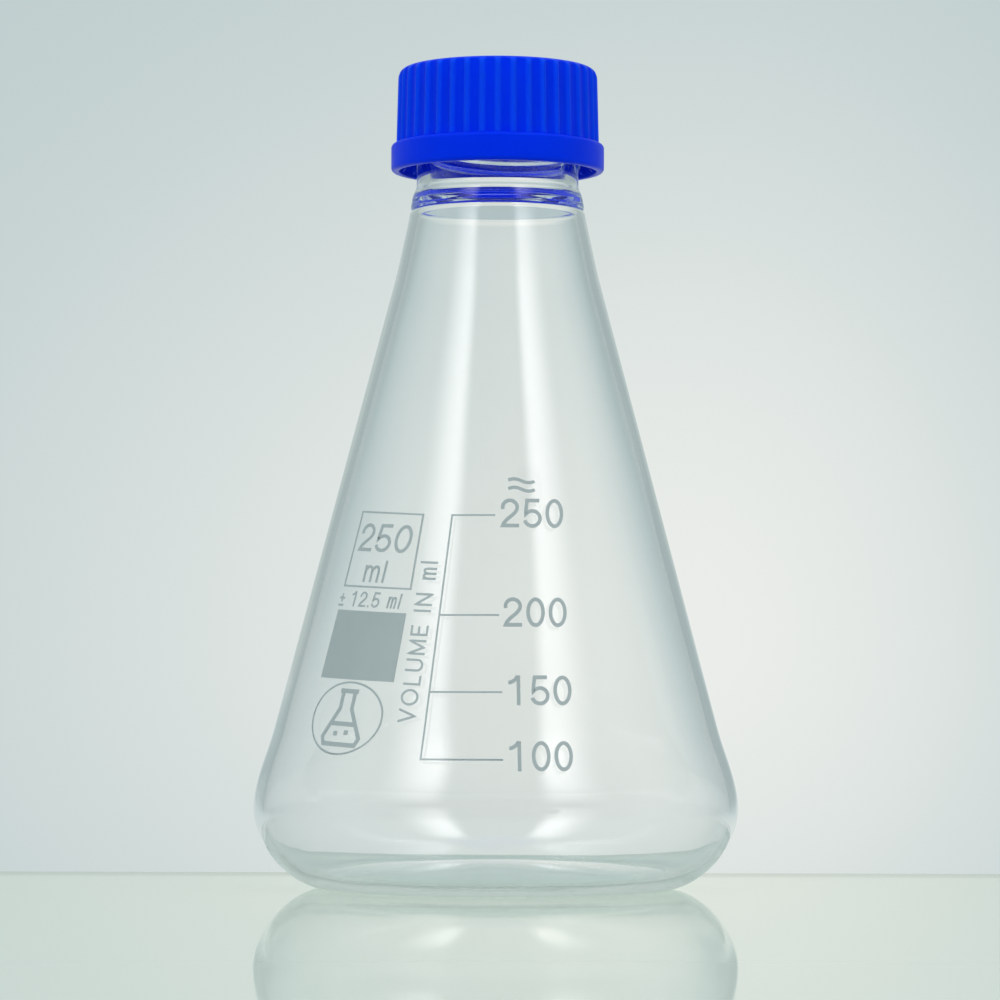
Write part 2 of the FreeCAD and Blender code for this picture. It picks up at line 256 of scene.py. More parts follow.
def dome(radius, edge_z, top_z, steps):
    """Points of a shallow dome from its edge to the axis, both included."""
    return [Vector((radius * (1 - k / steps), top_z - (top_z - edge_z) * (1 - k / steps) ** 2))
            for k in range(steps + 1)]


def body_side():
    """Outside of the flask from the table to the top of the straight cone."""
    low_corner = (BODY_RADIUS - 2.4 * MM, BODY_WIDEST_Z - 7 * MM)
    widest = (BODY_RADIUS, BODY_WIDEST_Z)
    cone_low = (cone_radius(CONE_LOW_Z), CONE_LOW_Z)
    cone_high = (cone_radius(CONE_HIGH_Z), CONE_HIGH_Z)
    points = bezier((STAND_OUTER, 0), (1, 0.2), low_corner, (0.55, 0.9), 14)
    points += bezier(low_corner, (0.55, 0.9), widest, (0, 1), 10)
    points += bezier(widest, (0, 1), cone_low, (-CONE_SLOPE, 1), 16)
    points += straight(cone_low, cone_high, 20)
    return points


SIDE = body_side()


def side_radius(height):
    """Outside radius of the flask at a height of its printed side."""
    for below, above in zip(SIDE, SIDE[1:]):
        if below.y <= height <= above.y:
            return below.lerp(above, (height - below.y) / (above.y - below.y)).x
    return cone_radius(height)


def neck_profile():
    """Outside from the top of the cone up to the rim, round it, and down to the bore's foot."""
    rim_radius = (NECK_RADIUS - BORE_RADIUS) / 2
    rim_z = RIM_Z - rim_radius
    shoulder = (SHOULDER_RADIUS, SHOULDER_Z)
    groove = (SHOULDER_RADIUS - 0.35 * MM, SHOULDER_Z + 0.6 * MM)
    bead = (SHOULDER_RADIUS - 0.2 * MM, SHOULDER_Z + 1.2 * MM)
    neck_foot = (NECK_RADIUS, NECK_FOOT_Z)
    neck_bend = (NECK_RADIUS + 0.66 * MM, NECK_FOOT_Z - 2 * MM)
    points = bezier(SIDE[-1], (-CONE_SLOPE, 1), UPPER_BEND, (-0.2, 1), 8)
    points += bezier(UPPER_BEND, (-0.2, 1), shoulder, (-0.14, 1), 8)
    points += bezier(shoulder, (-0.5, 0.8), groove, (-0.1, 1), 4)
    points += bezier(groove, (0.1, 1), bead, (0.1, 1), 4)
    points += bezier(bead, (-0.14, 1), neck_bend, (-0.28, 1), 8)
    points += bezier(neck_bend, (-0.28, 1), neck_foot, (0, 1), 8)
    points += straight(neck_foot, (NECK_RADIUS, rim_z), 66)
    points += quarter((BORE_RADIUS + rim_radius, rim_z), rim_radius, 0, 180, 12)[1:]
    points += straight((BORE_RADIUS, rim_z), (BORE_RADIUS, BORE_FOOT_Z), 6)
    return points


def inside_profile():
    """Inside of the flask from the foot of the bore down to the middle of the floor."""
    down_cone = (CONE_SLOPE, -1)
    floor_z = PUNT_HEIGHT + FLOOR_GLASS
    flare_foot = (SHOULDER_RADIUS - WALL, FLARE_FOOT_Z)
    bend = (UPPER_BEND[0] - WALL, UPPER_BEND[1])
    high = (cone_radius(CONE_HIGH_Z, WALL), CONE_HIGH_Z)
    low = (cone_radius(CONE_LOW_Z, WALL), CONE_LOW_Z)
    widest = (BODY_RADIUS - WALL, BODY_WIDEST_Z)
    corner = (BODY_RADIUS - 3.7 * MM, BODY_WIDEST_Z - 6.2 * MM)
    floor_edge = (FLOOR_RADIUS, floor_z - FLOOR_RISE)
    points = bezier((BORE_RADIUS, BORE_FOOT_Z), (0, -1), flare_foot, (0.15, -1), 20)
    points += bezier(flare_foot, (0.15, -1), bend, (0.2, -1), 8)
    points += bezier(bend, (0.2, -1), high, down_cone, 8)
    points += straight(high, low, 20)
    points += bezier(low, down_cone, widest, (0, -1), 14)
    points += bezier(widest, (0, -1), corner, (-0.52, -0.85), 10)
    points += bezier(corner, (-0.52, -0.85), floor_edge, (-1, 0.12), 16)
    points += dome(FLOOR_RADIUS, floor_edge[1], floor_z, 14)[1:]
    return points


def glass_profile():
    under = list(reversed(dome(STAND_INNER, 0, PUNT_HEIGHT, 14)))
    stand = straight((STAND_INNER, 0), (STAND_OUTER, 0), 2)
    return under + stand + SIDE + neck_profile() + inside_profile()


def ridge_share(height, angle, start_z, first_turn, turns, half_width):
    """Share of a wound ridge's height at one place of the wall that carries it."""
    tallest = 0.0
    for turn in range(4):
        wound = math.degrees(angle) + 360 * turn
        past_start = wound - 360 * first_turn
        before_end = 360 * (first_turn + turns) - wound
        fade = min(1.0, past_start / RIDGE_FADE, before_end / RIDGE_FADE)
        offset = abs(height - start_z - PITCH * wound / 360)
        if fade > 0 and offset < half_width:
            ease = fade * fade * (3 - 2 * fade)
            tallest = max(tallest, ease * 0.5 * (1 + math.cos(math.pi * offset / half_width)))
    return tallest


def glass_shape(radius, height, angle):
    on_neck = height > NECK_FOOT_Z + 0.5 * MM and abs(radius - NECK_RADIUS) < ON_WALL
    if not on_neck:
        return radius
    return radius + RIDGE_HEIGHT * ridge_share(height, angle, RIDGE_START_Z, 0, RIDGE_TURNS,
                                               RIDGE_HALF_WIDTH)


# ======== cap =================================================================================

def flute(angle):
    """Share of a flute's depth at an angle: flat valleys between narrow rounded ribs."""
    across = abs((angle * FLUTE_COUNT / (2 * math.pi)) % 1 - 0.5) * 2
    rib = max(0.0, (across - 0.45) / 0.55)
    valley_bow = 0.14 * (1 - (across / 0.45) ** 2) if across < 0.45 else 0.0
    return (1 - rib * rib * (3 - 2 * rib)) * 0.86 + valley_bow


def lug(angle):
    """Share of a lug's height at an angle: small half-round lugs inside the skirt."""
    across = abs((angle * LUG_COUNT / (2 * math.pi) + 0.5) % 1 - 0.5) * 8
    return math.sqrt(1 - across * across) if across < 1 else 0.0


def cap_outside():
    """Outline of the cap from the middle of its lid down to its lower outer edge."""
    edge = (CAP_HEAD_RADIUS - CAP_EDGE, cap_high.z - CAP_EDGE)
    band_round = (BAND_RADIUS - BAND_EDGE, BAND_TOP_Z - BAND_EDGE)
    side_foot = (CAP_FOOT_RADIUS, BAND_TOP_Z + 0.35 * MM)
    points = [Vector((0, cap_high.z))]
    points += straight((0, cap_high.z), (edge[0] * 0.97, cap_high.z), 8)
    points += quarter(edge, CAP_EDGE, 90, 0, 12)
    points += straight((CAP_HEAD_RADIUS, edge[1]), side_foot, 8)
    points += bezier(side_foot, (0, -1), (CAP_FOOT_RADIUS + 0.08 * MM, BAND_TOP_Z), (1, 0), 4)
    points += quarter(band_round, BAND_EDGE, 90, 0, 7)[1:]
    points += straight((BAND_RADIUS, BAND_TOP_Z - BAND_EDGE), (BAND_RADIUS, cap_low.z + BAND_EDGE), 3)
    points += quarter((BAND_RADIUS - BAND_EDGE, cap_low.z + BAND_EDGE), BAND_EDGE, 0, -90, 7)[1:]
    return points


def cap_inside():
    """Outline of the cap from its lower inner edge up to the middle of its ceiling."""
    low_round = 0.25 * MM
    skirt_bend = SKIRT_TOP_Z - 0.6 * MM
    bead_top = liner_low.z - PLAY
    bead_bottom = bead_top - 0.5 * MM
    wall_top = bead_bottom - 1 * MM
    skirt_round = (SKIRT_RADIUS + low_round, cap_low.z + low_round)
    points = quarter(skirt_round, low_round, -90, -180, 4)
    points += straight((SKIRT_RADIUS, cap_low.z + low_round), (SKIRT_RADIUS, skirt_bend), 6)
    points += bezier((SKIRT_RADIUS, skirt_bend), (0, 1), (THREAD_WALL_RADIUS, SKIRT_TOP_Z), (-0.2, 1), 5)
    points += straight((THREAD_WALL_RADIUS, SKIRT_TOP_Z), (THREAD_WALL_RADIUS, wall_top), 34)
    points += straight((THREAD_WALL_RADIUS, wall_top), (LINER_BEAD_RADIUS, bead_bottom), 3)
    points += straight((LINER_BEAD_RADIUS, bead_bottom), (LINER_BEAD_RADIUS, bead_top), 2)
    points += straight((LINER_BEAD_RADIUS, bead_top), (THREAD_WALL_RADIUS, bead_top), 2)
    points += straight((THREAD_WALL_RADIUS, bead_top), (THREAD_WALL_RADIUS, CAP_CEILING_Z), 2)
    points += straight((THREAD_WALL_RADIUS, CAP_CEILING_Z), (0, CAP_CEILING_Z), 6)
    return points


def cap_shape(radius, height, angle):
    """Radius of the cap with its flutes outside, and its lugs and thread inside."""
    under_liner = height < liner_low.z - 1.2 * MM
    if under_liner and abs(radius - THREAD_WALL_RADIUS) < ON_WALL:
        return radius - CAP_RIDGE_HEIGHT * ridge_share(
            height, angle, RIDGE_START_Z + PITCH / 2, CAP_RIDGE_START / 360, CAP_RIDGE_TURNS,
            CAP_RIDGE_HALF_WIDTH)
    if LUG_LOW_Z < height < LUG_HIGH_Z and abs(radius - SKIRT_RADIUS) < ON_WALL:
        return radius - LUG_DEPTH * lug(angle)
    side_top = cap_high.z - CAP_EDGE
    fluted = BAND_TOP_Z - ON_WALL < height < cap_high.z - 0.05 * MM
    if fluted and CAP_HEAD_RADIUS - CAP_EDGE < radius < CAP_FOOT_RADIUS + 0.05 * MM:
        rise = (height - BAND_TOP_Z) / (side_top - BAND_TOP_Z)
        side = CAP_FOOT_RADIUS - (CAP_FOOT_RADIUS - CAP_HEAD_RADIUS) * rise
        return min(radius, side - FLUTE_DEPTH * flute(angle))
    return radius


# ======== small turned pieces =================================================================

def liner_profile():
    edge = 0.2 * MM
    r, low, high = liner_high.x, liner_low.z, liner_high.z
    points = [Vector((0, low))] + straight((0, low), (r - edge, low), 6)
    points += quarter((r - edge, low + edge), edge, -90, 0, 4)[1:]
    points += quarter((r - edge, high - edge), edge, 0, 90, 4)
    points += straight((r - edge, high), (0, high), 6)
    return points


def ring_profile():
    """L-shaped section: a flange over the glass rim and a skirt down the outside of the neck."""
    edge = 0.18 * MM
    inner = BORE_RADIUS + 0.1 * MM
    neck = NECK_RADIUS + PLAY
    under = RIM_Z + PLAY
    top, skirt_low = ring_high.z, ring_low.z
    skirt_out = neck + 0.5 * MM
    points = [Vector((inner, under)), Vector((neck, under)), Vector((neck, skirt_low))]
    points += quarter((skirt_out - edge, skirt_low + edge), edge, -90, 0, 3)
    points += quarter((ring_high.x - edge, top - edge), edge, 0, 90, 4)
    points += quarter((inner + 2 * edge, top - 2 * edge), 2 * edge, 90, 180, 5)
    return points


# ======== print ===============================================================================

# Each letter is the middle lines of its strokes, on a base line at 0 with capitals 1 high.

def digit_0():
    return 0.64, [oval((0.32, 0.5), (0.26, 0.44), 90, 450, 28)]


def digit_1():
    flag = [(0.02, 0.76)] + bezier((0.02, 0.76), (1, 0), (0.33, 0.99), (0.3, 1), 8)
    return 0.64, [flag, [(0.36, 0), (0.36, 1)]]


def digit_2():
    bowl = oval((0.32, 0.70), (0.25, 0.24), 195, -30, 16)
    tail = bezier(bowl[-1], (-0.5, -0.8), (0.07, 0.07), (-0.3, -1), 8)
    return 0.64, [bowl + tail + [(0.63, 0.07)]]


def digit_5():
    bowl = oval((0.31, 0.32), (0.27, 0.26), 145, -165, 20)
    return 0.64, [[(0.56, 0.94), (0.13, 0.94), (0.07, 0.44)] + bowl]


def letter_m():
    arches = [[(foot - 0.27, 0.4)] + bezier((foot - 0.27, 0.4), (0, 1), (foot - 0.11, 0.71), (1, 0), 6)
              + bezier((foot - 0.11, 0.71), (1, 0), (foot, 0.45), (0, -1), 6) + [(foot, 0)]
              for foot in (0.33, 0.60)]
    return 0.66, [[(0.06, 0), (0.06, 0.76)]] + arches


def letter_u():
    bowl = oval((0.34, 0.32), (0.28, 0.27), 180, 360, 16)
    return 0.68, [[(0.06, 1)] + bowl + [(0.62, 1)]]


def plus_minus():
    bars = [[(0.02, height), (0.54, height)] for height in (0.05, 0.52)]
    return 0.56, bars + [[(0.28, 0.26), (0.28, 0.78)]]


LETTERS = {
    "0": digit_0(),
    "1": digit_1(),
    "2": digit_2(),
    "5": digit_5(),
    "m": letter_m(),
    "U": letter_u(),
    "l": (0.12, [[(0.06, 0), (0.06, 1)]]),
    "I": (0.12, [[(0.06, 0), (0.06, 1)]]),
    "L": (0.52, [[(0.06, 1), (0.06, 0.05), (0.52, 0.05)]]),
    "E": (0.56, [[(0.55, 0.95), (0.06, 0.95), (0.06, 0.05), (0.56, 0.05)], [(0.06, 0.52), (0.50, 0.52)]]),
    "M": (0.80, [[(0.06, 0), (0.06, 0.96), (0.40, 0.1), (0.74, 0.96), (0.74, 0)]]),
    "N": (0.68, [[(0.06, 0), (0.06, 0.96), (0.62, 0.04), (0.62, 1)]]),
    "O": (0.86, [oval((0.43, 0.5), (0.38, 0.45), 90, 450, 32)]),
    "V": (0.68, [[(0.02, 1), (0.34, 0.04), (0.66, 1)]]),
    ".": (0.12, [[(0.06, 0), (0.06, 0.12)]]),
    "±": plus_minus(),
    " ": (0.30, []),
}


def laid_on_glass(azimuth, height, along, up):
    """A function that lays a flat place on the flask's side.

    Flat x goes the way of along and flat y the way of up, both as (distance round the
    flask, height), from a place given by its azimuth and height.
    """
    def place(x, y, lift):
        z = height + x * along[1] + y * up[1]
        arc = x * along[0] + y * up[0]
        radius = side_radius(z)
        angle = math.radians(azimuth) + arc / radius
        tilt = math.atan2(side_radius(z - 1 * MM) - side_radius(z + 1 * MM), 2 * MM)
        out = radius + lift * math.cos(tilt)
        return Vector((out * math.sin(angle), -out * math.cos(angle), z + lift * math.sin(tilt)))
    return place


def written(text, height, gap, width=1.0):
    """Flat strokes of a line of text, with letters of a height and a gap between them."""
    x = 0.0
    strokes = []
    for character in text:
        letter_width, letter_strokes = LETTERS[character]
        for stroke in letter_strokes:
            strokes.append([Vector((x + px * height * width, py * height)) for px, py in stroke])
        x += (letter_width * width + gap) * height
    return strokes


def divided(stroke):
    """A stroke with extra points, so that none of its pieces is long."""
    points = [Vector(stroke[0])]
    for end in stroke[1:]:
        end = Vector(end)
        pieces = max(1, math.ceil((end - points[-1]).length / LETTER_STEP))
        points += straight(points[-1], end, pieces)
    return points


def sideways(points, index, closed):
    """Direction square to a stroke at one of its points, longer at a bend so the width holds."""
    before = points[index - 1] if index or closed else points[0]
    after = points[(index + 1) % len(points)] if index + 1 < len(points) or closed else points[-1]
    here = points[index]
    into = (here - before).normalized() if here != before else (after - here).normalized()
    out = (after - here).normalized() if here != after else into
    along = (into + out).normalized()
    stretch = 1 / max(0.55, along.dot(into))
    return Vector((-along.y, along.x)) * stretch


def add_stroke(mesh, stroke, width, place):
    """One printed stroke as a thin closed bar laid on the glass."""
    points = divided(stroke)
    closed = (points[0] - points[-1]).length < 1e-7
    if closed:
        points.pop()
    rings = []
    for index, point in enumerate(points):
        across = sideways(points, index, closed) * width / 2
        left, right = point + across, point - across
        corners = [(left, -ENAMEL_SUNK), (right, -ENAMEL_SUNK), (right, ENAMEL_PROUD), (left, ENAMEL_PROUD)]
        rings.append([mesh.verts.new(place(spot.x, spot.y, lift)) for spot, lift in corners])
    pairs = list(zip(rings, rings[1:]))
    if closed:
        pairs.append((rings[-1], rings[0]))
    else:
        mesh.faces.new(rings[0])
        mesh.faces.new(list(reversed(rings[-1])))
    for first, second in pairs:
        for a in range(4):
            b = (a + 1) % 4
            mesh.faces.new((first[a], first[b], second[b], second[a]))


def print_piece(name, groups):
    """One enamel piece from groups of (strokes, stroke width, place)."""
    mesh = bmesh.new()
    for strokes, width, place in groups:
        for stroke in strokes:
            add_stroke(mesh, stroke, width, place)
    return finished(name, mesh)


def print_numerals():
    """Volumes beside the ticks of the scale."""
    groups = []
    for text, middle, azimuth in NUMERAL_ROWS:
        place = laid_on_glass(azimuth, middle - NUMERAL_HEIGHT / 2, (1, 0), (0, 1))
        groups.append((written(text, NUMERAL_HEIGHT, 0.14), 0.62 * MM, place))
    return print_piece("print_numerals", groups)


def print_about_sign():
    """Two waves over the scale that mean "about"."""
    shares = [step / 20 for step in range(21)]
    wave = [Vector((x * 4.5 * MM, 0.32 * MM * math.sin(2 * math.pi * (x * 0.92 + 0.04)))) for x in shares]
    lower = laid_on_glass(4.0, 68.75 * MM, (1, 0), (0, 1))
    upper = laid_on_glass(4.0, 70.2 * MM, (1, 0), (0, 1))
    return print_piece("print_about_sign", [([wave], 0.55 * MM, lower), ([wave], 0.55 * MM, upper)])


def print_capacity():
    """Nominal volume and its unit inside the capacity frame."""
    number = laid_on_glass(-50.6, 58.45 * MM, (1, LABEL_TILT), (LABEL_LEAN, 1))
    unit = laid_on_glass(-45.4, 53.1 * MM, (1, LABEL_TILT), (LABEL_LEAN, 1))
    return print_piece("print_capacity", [(written("250", 4.8 * MM, 0.14, 1.13), 0.58 * MM, number),
                                          (written("ml", 3.8 * MM, 0.17, 1.5), 0.46 * MM, unit)])


def print_tolerance():
    """Generic tolerance under the capacity frame."""
    place = laid_on_glass(-54.4, 49.15 * MM, (1, LABEL_TILT), (LABEL_LEAN, 1))
    return print_piece("print_tolerance", [(written("± 12.5 ml", 2.6 * MM, 0.2), 0.34 * MM, place)])


def print_caption():
    """Upright caption between the label column and the scale, read from below."""
    place = laid_on_glass(-20.7, 29.3 * MM, (0.049, 1), (-1, 0.05))
    return print_piece("print_caption", [(written("VOLUME IN ml", 3.15 * MM, 0.21), 0.38 * MM, place)])


def print_pictogram():
    """Conical flask with a liquid level, in the oval at the foot of the label column."""
    glass = [(-1.05, 3.6), (-1.05, 1.3), (-3.35, -2.5), (-2.9, -3.4), (2.9, -3.4), (3.35, -2.5),
             (1.05, 1.3), (1.05, 3.6)]
    lip = [(-1.6, 3.6), (1.6, 3.6)]
    level = [(-2.25, -0.7), (2.25, -0.7)]
    dots = [[(x, y), (x + 0.7, y)] for x, y in ((-1.3, -2.0), (0.6, -1.8))]
    strokes = [[Vector(spot) * 1.28 * MM for spot in stroke] for stroke in (glass, lip, level, *dots)]
    place = laid_on_glass(-42.1, 29.9 * MM, (1, LABEL_TILT), (LABEL_LEAN, 1))
    return print_piece("print_pictogram", [(strokes, 0.75 * MM, place)])


# ======== materials ===========================================================================

class Shading:
    """The node tree of a material or world, with short ways to add to it."""

    def __init__(self, owner):
        owner.use_nodes = True
        self.owner = owner
        self.nodes = owner.node_tree.nodes
        self.links = owner.node_tree.links

    def feed(self, socket, value):
        """Give an input a number, a colour, or another node's output."""
        if isinstance(value, bpy.types.NodeSocket):
            self.links.new(value, socket)
        elif isinstance(value, tuple) and len(value) == 3 and len(socket.default_value) == 4:
            socket.default_value = (*value, 1)
        else:
            socket.default_value = value

    def node(self, kind, output, **inputs):
        """Add a node, feed its inputs by name, and give one of its outputs."""
        added = self.nodes.new(kind)
        for name, value in inputs.items():
            self.feed(added.inputs[name.replace("_", " ")], value)
        return added.outputs[output]

    def maths(self, operation, *values):
        added = self.nodes.new("ShaderNodeMath")
        added.operation = operation
        for socket, value in zip(added.inputs, values):
            self.feed(socket, value)
        return added.outputs["Value"]

    def ranged(self, value, low, high, out_low, out_high):
        """A value eased from one range into another."""
        added = self.nodes.new("ShaderNodeMapRange")
        added.interpolation_type = "SMOOTHSTEP"
        numbers = (low, high, out_low, out_high)
        for name, number in zip(("From Min", "From Max", "To Min", "To Max"), numbers):
            self.feed(added.inputs[name], number)
        self.feed(added.inputs["Value"], value)
        return added.outputs["Result"]

    def blended(self, value, first, second):
        """Two colours blended by a value."""
        added = self.nodes.new("ShaderNodeMix")
        added.data_type = "RGBA"
        self.feed(added.inputs["A"], first)
        self.feed(added.inputs["B"], second)
        self.feed(added.inputs["Factor"], value)
        return added.outputs["Result"]

    def axes(self, space="Object"):
        """The three coordinates of a place, in the object's own frame unless told otherwise."""
        place = self.nodes.new("ShaderNodeTexCoord").outputs[space]
        split = self.nodes.new("ShaderNodeSeparateXYZ")
        self.feed(split.inputs["Vector"], place)
        return split.outputs

    def noise(self, scale, detail=3.0, stretch=(1, 1, 1)):
        """Noise in the object's own coordinates, in cycles to a metre."""
        place = self.nodes.new("ShaderNodeTexCoord").outputs["Object"]
        vector = self.node("ShaderNodeMapping", "Vector", Vector=place, Scale=stretch)
        return self.node("ShaderNodeTexNoise", "Fac", Vector=vector, Scale=scale, Detail=detail)

    def bump(self, height, distance, strength=1.0):
        return self.node("ShaderNodeBump", "Normal", Height=height, Distance=distance, Strength=strength)

    def mixed(self, value, first, second):
        """Two shaders mixed by a value."""
        added = self.nodes.new("ShaderNodeMixShader")
        for socket, source in zip(added.inputs, (value, first, second)):
            self.feed(socket, source)
        return added.outputs["Shader"]

    def surface(self, shader):
        self.feed(self.nodes["Material Output"].inputs["Surface"], shader)

    def shader(self, **inputs):
        """Feed the material's main shader."""
        for name, value in inputs.items():
            self.feed(self.nodes["Principled BSDF"].inputs[name.replace("_", " ")], value)


def new_material(name):
    return Shading(bpy.data.materials.new(name))


def glass_material():
    """Clear borosilicate with faint blowing waves and a trace of handling haze.

    A ray that is caught in the wall for long gets painted light, a pale glow, instead of going
    black, and a painted blue glow where the cap is round the neck.
    """
    look = new_material("borosilicate_glass")
    waves = look.noise(45, 1.0, (1, 1, 0.35))
    haze = look.noise(160, 4.0)
    look.shader(
        Transmission_Weight=1.0, IOR=1.473,
        Base_Color=look.blended(haze, (0.985, 0.995, 0.992), (0.995, 1.0, 0.998)),
        Roughness=look.ranged(haze, 0.45, 0.75, 0.0, 0.02),
        Normal=look.bump(waves, 0.3 * MM))
    shadow = look.node("ShaderNodeBsdfTransparent", "BSDF", Color=(0.95, 0.975, 0.965))
    in_cap = look.ranged(look.axes()["Z"], SHOULDER_Z + 1 * MM, cap_low.z + 2 * MM, 0.0, 1.0)
    # painted light: deep rays in the wall glow pale, and painted blue where the cap is round the neck
    trapped_painted_colour = look.blended(in_cap, TRAPPED_RAY_PAINTED_LIGHT, TRAPPED_RAY_PAINTED_BLUE)
    trapped_painted_light = look.node("ShaderNodeEmission", "Emission", Color=trapped_painted_colour)
    path = look.nodes.new("ShaderNodeLightPath")
    trapped = look.maths("GREATER_THAN", path.outputs["Ray Depth"], TRAPPED_DEPTH)
    clear = look.mixed(trapped, look.nodes["Principled BSDF"].outputs["BSDF"], trapped_painted_light)
    look.surface(look.mixed(path.outputs["Is Shadow Ray"], clear, shadow))
    absorbed = look.node("ShaderNodeVolumeAbsorption", "Volume", Color=(0.60, 0.90, 0.80), Density=6.0)
    look.feed(look.nodes["Material Output"].inputs["Volume"], absorbed)
    return look.owner


def plastic_material(name, colour, deep, roughness, ribbed=False):
    """Moulded polypropylene: slight mottling, a fine mould grain, and an uneven sheen.

    Light passes through it a little; a cap has a painted glow inside and a painted highlight on its grip
    ribs.
    """
    look = new_material(name)
    mottle = look.noise(90)
    grain = look.noise(2600, 2.0)
    skin = look.blended(mottle, deep, colour)
    if ribbed:
        # painted light: a painted highlight on the rib crests and a painted glow inside the cap
        painted_rib_highlight, inside = cap_places(look)
        skin = look.blended(painted_rib_highlight, skin, RIB_PAINTED_HIGHLIGHT_BLUE)
        painted_glow = look.maths("MULTIPLY", inside, PAINTED_GLOW_STRENGTH)
        look.shader(Emission_Color=PAINTED_GLOW_BLUE, Emission_Strength=painted_glow)
    look.shader(
        Base_Color=skin, IOR=1.3, Specular_IOR_Level=0.3, Specular_Tint=(0.02, 0.3, 1.0),
        Subsurface_Weight=0.35, Subsurface_Radius=(0.2, 0.6, 1.6), Subsurface_Scale=1.2 * MM,
        Roughness=look.ranged(mottle, 0.3, 0.7, roughness - 0.05, roughness + 0.07),
        Normal=look.bump(grain, 0.02 * MM, 0.35))
    return look.owner


def cap_places(look):
    """How far a place of the cap is up a grip rib, for the painted rib highlight, and how far inside, for
    the painted glow.
    """
    x, y, z = look.axes()
    wave = look.maths("COSINE", look.maths("MULTIPLY", look.maths("ARCTAN2", y, x), FLUTE_COUNT))
    squares = [look.maths("POWER", side, 2.0) for side in (x, y)]
    radius = look.maths("SQRT", look.maths("ADD", *squares))
    outside = look.ranged(radius, CAP_HEAD_RADIUS - 1.5 * MM, CAP_HEAD_RADIUS - 0.7 * MM, 0.0, 1.0)
    over_band = look.ranged(z, BAND_TOP_Z, BAND_TOP_Z + 0.3 * MM, 0.0, 1.0)
    crest = look.ranged(wave, -0.2, 0.9, 0.0, 0.8)
    within = look.ranged(radius, THREAD_WALL_RADIUS + 0.2 * MM, THREAD_WALL_RADIUS + 0.6 * MM, 1.0, 0.0)
    under_lid = look.ranged(z, cap_high.z - 1.2 * MM, cap_high.z - 0.6 * MM, 1.0, 0.0)
    painted_rib_highlight = look.maths("MULTIPLY", crest, look.maths("MULTIPLY", outside, over_band))
    return painted_rib_highlight, look.maths("MULTIPLY", within, under_lid)


def enamel_material():
    """Fired grey-blue screen print: slightly uneven ink, satin, with a fine pitted surface."""
    look = new_material("fired_enamel")
    cloud = look.noise(260)
    pits = look.noise(4200, 2.0)
    look.shader(
        Base_Color=look.blended(cloud, (0.42, 0.50, 0.51), (0.47, 0.545, 0.555)),
        Roughness=look.ranged(cloud, 0.3, 0.7, 0.35, 0.5),
        Normal=look.bump(pits, 0.01 * MM, 0.4))
    return look.owner


# ======== studio ==============================================================================

def backdrop(look, azimuth, rise):
    """Light and tint of the backdrop in a direction: a soft pool of light behind the flask.

    azimuth is measured from +Y and rise is the height of the direction.  What the glass
    bends or mirrors from the sides is the dimmer room beside the backdrop, and the room
    on the camera's side is dark.
    """
    aside = look.maths("SUBTRACT", azimuth, POOL_AZIMUTH)
    above = look.maths("SUBTRACT", rise, POOL_RISE)
    to_right = look.maths("MULTIPLY", aside, POOL_FALL_RIGHT)
    to_left = look.maths("MULTIPLY", aside, -POOL_FALL_LEFT)
    across = look.maths("MAXIMUM", to_right, to_left)
    upwards = look.maths("MULTIPLY", above, POOL_FALL_UP)
    downwards = look.maths("MULTIPLY", above, -POOL_FALL_DOWN)
    up = look.maths("MAXIMUM", upwards, downwards)
    distance = look.maths("ADD", look.maths("POWER", across, 2.0), look.maths("POWER", up, 2.0))
    pool = look.maths("EXPONENT", look.maths("MULTIPLY", distance, -1.0))
    glow = look.maths("MULTIPLY_ADD", pool, POOL_LIGHT, BACKDROP_LIGHT)
    seen = look.nodes.new("ShaderNodeLightPath").outputs["Is Camera Ray"]
    off_axis = look.maths("ABSOLUTE", azimuth)
    beside = look.ranged(off_axis, math.radians(8), math.radians(20), 1.0, SURROUND)
    in_front = look.ranged(off_axis, math.radians(95), math.radians(150), 1.0, DARK_ROOM)
    room = look.maths("MULTIPLY", beside, in_front)
    light = look.maths("MULTIPLY", glow, look.maths("MAXIMUM", seen, room))
    return light, look.blended(pool, (0.84, 1.0, 1.01), (0.975, 1.0, 0.965))


def softboxes(look, parts):
    """Two tall soft boxes in front, left and right, that only glass and gloss can see."""
    forward = look.maths("MULTIPLY", parts["Y"], -1.0)
    turned_left = look.maths("ARCTAN2", parts["X"], forward)
    off_front = look.maths("ABSOLUTE", look.maths("ADD", turned_left, math.radians(1.5)))
    height = look.maths("ARCSINE", parts["Z"])
    inner = look.ranged(off_front, math.radians(22), math.radians(33), 0.0, 1.0)
    outer = look.ranged(off_front, math.radians(34), math.radians(62), 1.0, 0.0)
    foot = look.ranged(height, math.radians(9), math.radians(18), 0.0, 1.0)
    head = look.ranged(height, math.radians(56), math.radians(72), 1.0, 0.0)
    brighter_high = look.ranged(height, math.radians(12), math.radians(48), 0.5, 1.6)
    sideways_share = look.maths("MULTIPLY", inner, outer)
    upright_share = look.maths("MULTIPLY", foot, head)
    shape = look.maths("MULTIPLY", sideways_share, upright_share)
    path = look.nodes.new("ShaderNodeLightPath")
    hidden = look.maths("MAXIMUM", path.outputs["Is Camera Ray"], path.outputs["Is Diffuse Ray"])
    power = look.maths("MULTIPLY", look.maths("SUBTRACT", 1.0, hidden), SOFTBOX_RADIANCE)
    return look.maths("MULTIPLY", look.maths("MULTIPLY", shape, brighter_high), power)


